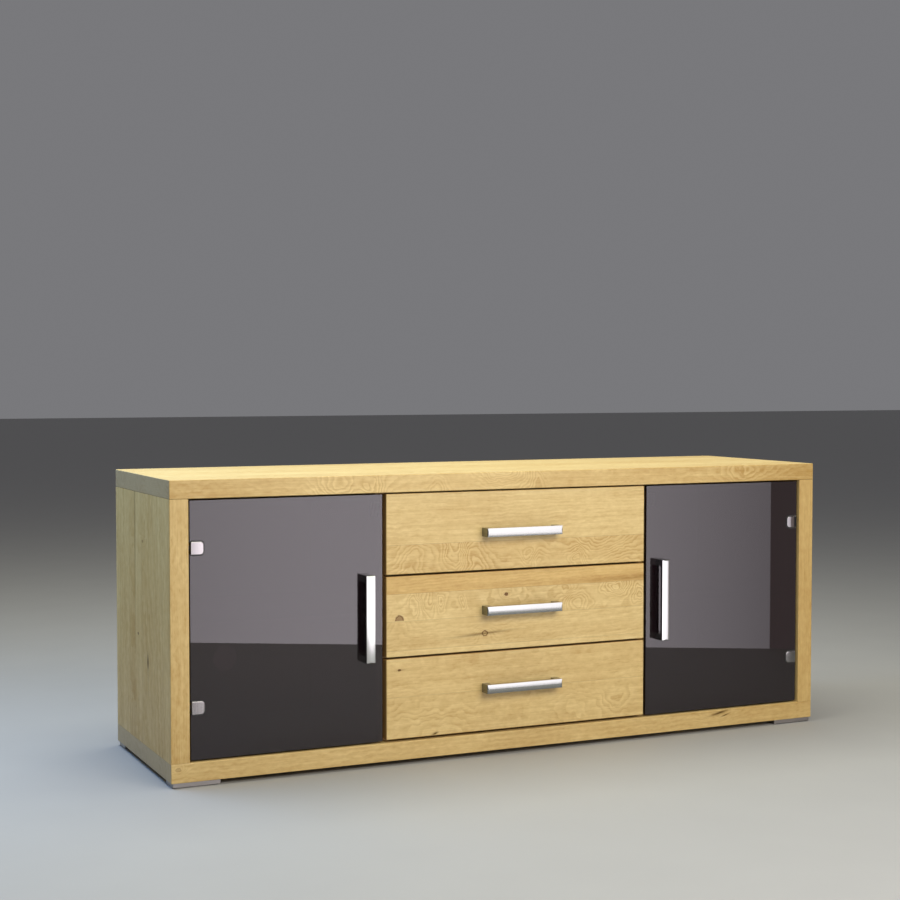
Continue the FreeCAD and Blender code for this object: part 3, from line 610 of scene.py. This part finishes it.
def hardware():
    """Glass, metal, plastic and rubber pieces."""
    # Painted light: the door handles take a brighter, glossier copy of the drawer handles'
    # nickel, standing in for how the light falls on them.
    nickel = (0.245, 0.256, 0.244, 1.0)
    painted_light_nickel = (0.34, 0.352, 0.338, 1.0)
    zinc = (0.60, 0.61, 0.62, 1.0)
    satin_x = brushed("satin_nickel_flat", nickel, 0.20, "x", 0.30)
    satin_z = brushed("satin_nickel_upright", painted_light_nickel, 0.07, "z", 0.20)
    satin_caps = brushed("satin_caps", (0.25, 0.24, 0.24, 1.0), 0.24, "z", 0.03)
    # Painted shade: the right hinge caps and clamps take a darker, glossier copy of the left
    # ones' metal, standing in for how the light falls on them.
    polished_caps_painted_shade = brushed("polished_caps_painted_shade", (0.20, 0.195, 0.195, 1.0), 0.05, "z", 0.03)
    plated = brushed("zinc_plated_steel", zinc, 0.30, "y", 0.08, 500.0)
    foot = brushed("brushed_foot", (0.30, 0.285, 0.275, 1.0), 0.25, "x")
    black = moulded("black_plastic", (0.03, 0.03, 0.03, 1.0), 0.45)
    rubber = moulded("black_rubber", (0.018, 0.018, 0.018, 1.0), 0.7)
    glass = smoked_glass()
    for name in DRAWERS:
        dress(satin_x, name + "_drawer_handle")
        dress(plated, name + "_drawer_handle_screws", name + "_drawer_rails",
              name + "_runner_middles")
    for side in SIDES:
        door = side + "_door_"
        dress(glass, door + "glass")
        dress(satin_z, door + "handle")
        dress(plated, door + "handle_screws", door + "strike_plate")
        dress(rubber, door + "seals")
    dress(satin_caps, "left_door_hinge_caps", "left_door_hinge_clamps", "hinge_leaves")
    dress(polished_caps_painted_shade, "right_door_hinge_caps", "right_door_hinge_clamps")
    dress(plated, "hinge_pins", "hinge_leaf_screws", "back_panel_screws", "foot_screws",
          "drawer_cabinet_rails", "shelf_pins")
    dress(foot, "front_feet", "rear_feet")
    dress(rubber, "foot_glides")
    dress(black, "cable_grommets", "door_catches")


# ---- floor, light and camera ----
def stage_quad(name, corners, material):
    """One flat four-cornered piece of the stage."""
    mesh = bpy.data.meshes.new(name)
    mesh.from_pydata(corners, [], [(0, 1, 2, 3)])
    mesh.materials.append(material)
    made = bpy.data.objects.new(name, mesh)
    bpy.context.scene.collection.objects.link(made)
    return made


def floor():
    """A wide plain pale floor."""
    material, s, surface = new_material("pale_floor")
    mottle = s.noise(s.node("TexCoord").outputs["Object"], scale=6.0, detail=4.0)
    s.feed(surface.inputs["Base Color"],
           s.tint(FLOOR_COLOR, s.add(s.mul(mottle, 0.06), 0.97)))
    s.feed(surface.inputs["Roughness"], 0.7)
    h = FLOOR_HALF
    stage_quad("floor", [(-h, -h, 0), (h, -h, 0), (h, h, 0), (-h, h, 0)], material)


def reflector_card(name, left, right, color, strength_of):
    """A low upright card that only shows as a reflection in the glass and the metal."""
    material, s, glow = new_material(name, "Emission")
    s.feed(glow.inputs["Color"], color)
    s.feed(glow.inputs["Strength"], strength_of(s))
    low = [(*left, 0.0), (*right, 0.0)]
    high = [(*right, CARD_HEIGHT), (*left, CARD_HEIGHT)]
    card = stage_quad(name, low + high, material)
    card.visible_camera = False
    card.visible_diffuse = False
    card.visible_transmission = False
    card.visible_shadow = False


def bright_card_strength(s):
    """Brightest near its middle, so its reflection fades towards both ends."""
    from_peak = s.sub(s.object_place()[0], CARD_PEAK)
    fade = s.sub(1.0, s.mul(s.mul(from_peak, from_peak), CARD_FALLOFF))
    return s.mul(s.math("MAXIMUM", fade, CARD_LEAST), CARD_RADIANCE)


def reflectors():
    """The bright card and the dim one beside it."""
    reflector_card("bright_card", CARD_LEFT, CARD_RIGHT, CARD_COLOR, bright_card_strength)
    reflector_card("dim_card", CARD_RIGHT, DIM_CARD_RIGHT, DIM_COLOR,
                   lambda s: DIM_RADIANCE)


def softbox(name, place, aim, size, radiance, color):
    """An area light. Its power follows from the brightness wanted of its face."""
    data = bpy.data.lights.new(name, "AREA")
    data.shape = "RECTANGLE"
    data.size, data.size_y = size
    data.energy = radiance * math.pi * size[0] * size[1]
    data.color = color
    light = bpy.data.objects.new(name, data)
    light.location = place
    light.rotation_mode = "QUATERNION"
    light.rotation_quaternion = (aim - place).to_track_quat("-Z", "Y")
    light.visible_camera = False
    bpy.context.scene.collection.objects.link(light)


def lights():
    """Three softboxes and an even ambient light."""
    world = bpy.data.worlds.new("studio")
    world.use_nodes = True
    world.node_tree.nodes["Background"].inputs["Color"].default_value = AMBIENT
    bpy.context.scene.world = world
    softbox("key_softbox", KEY_PLACE, KEY_AIM, KEY_SIZE, KEY_RADIANCE, KEY_COLOR)
    under = Vector((TOP_PLACE.x, TOP_PLACE.y, 0.0))
    softbox("top_softbox", TOP_PLACE, under, TOP_SIZE, TOP_RADIANCE, TOP_COLOR)
    softbox("side_softbox", FILL_PLACE, FILL_AIM, FILL_SIZE, FILL_RADIANCE, FILL_COLOR)
    bpy.context.scene.view_settings.view_transform = "Standard"


def camera():
    """A camera at sitting height, off to the left."""
    data = bpy.data.cameras.new("camera")
    data.lens = CAMERA_LENS
    data.sensor_width = CAMERA_SENSOR
    made = bpy.data.objects.new("camera", data)
    made.location = CAMERA_PLACE
    made.rotation_euler = (math.radians(90.0 - CAMERA_DIP), 0.0, math.radians(CAMERA_TURN))
    bpy.context.scene.collection.objects.link(made)
    bpy.context.scene.camera = made


long_boards()
uprights()
drawer_fronts()
plain_woods()
hardware()
floor()
reflectors()
lights()
camera()
